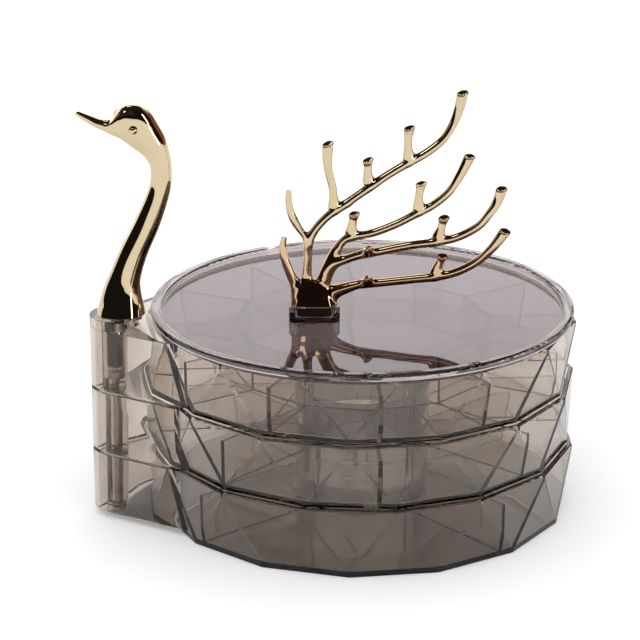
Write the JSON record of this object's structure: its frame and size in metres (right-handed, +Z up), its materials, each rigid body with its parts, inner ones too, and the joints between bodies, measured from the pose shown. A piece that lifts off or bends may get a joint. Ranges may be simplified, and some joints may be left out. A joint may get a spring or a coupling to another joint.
{
  "type": "rotating jewelry box",
  "caption": "Round faceted jewelry box of smoked clear stacked trays that swing out on a side hinge column, with a gilt swan neck and branch on the lid.",
  "frame": {"origin": "centre of the trays on the surface that the box stands on", "axes": "+Z up; +X from the hinge column towards the far side of the trays; the column is at -X"},
  "size_m": [0.2081, 0.1798, 0.1771],
  "materials": {
    "base_acrylic": "smoked clear, polished",
    "tray_acrylic": "smoked clear, polished",
    "lid_acrylic": "smoked clear, polished",
    "gilt": "pale champagne gold plating, mirror polished",
    "steel": "plain bright steel",
    "spacer": "natural nylon"
  },
  "bodies": {
    "base_body": {"bottom_tray": "base_acrylic", "hinge_bolt": "steel", "hinge_nut": "steel", "nut_washer": "steel", "lower_spacer": "spacer"},
    "middle_body": {"middle_tray": "tray_acrylic", "upper_spacer": "spacer"},
    "top_body": {"top_tray": "tray_acrylic", "swan_neck": "gilt"},
    "lid_body": {"lid": "lid_acrylic", "tail_branch": "gilt"}
  },
  "joints": [
    {"name": "middle_tray_swing", "type": "hinge", "parent": "base_body", "child": "middle_body", "pos_m": [-0.104, 0, 0.0295], "axis": [0, 0, 1], "continuous": true},
    {"name": "top_tray_swing", "type": "hinge", "parent": "base_body", "child": "top_body", "pos_m": [-0.104, 0, 0.057], "axis": [0, 0, 1], "continuous": true},
    {"name": "lid_lift", "type": "slide", "parent": "top_body", "child": "lid_body", "axis": [0, 0, 1], "range_m": [0, 0.028]}
  ]
}
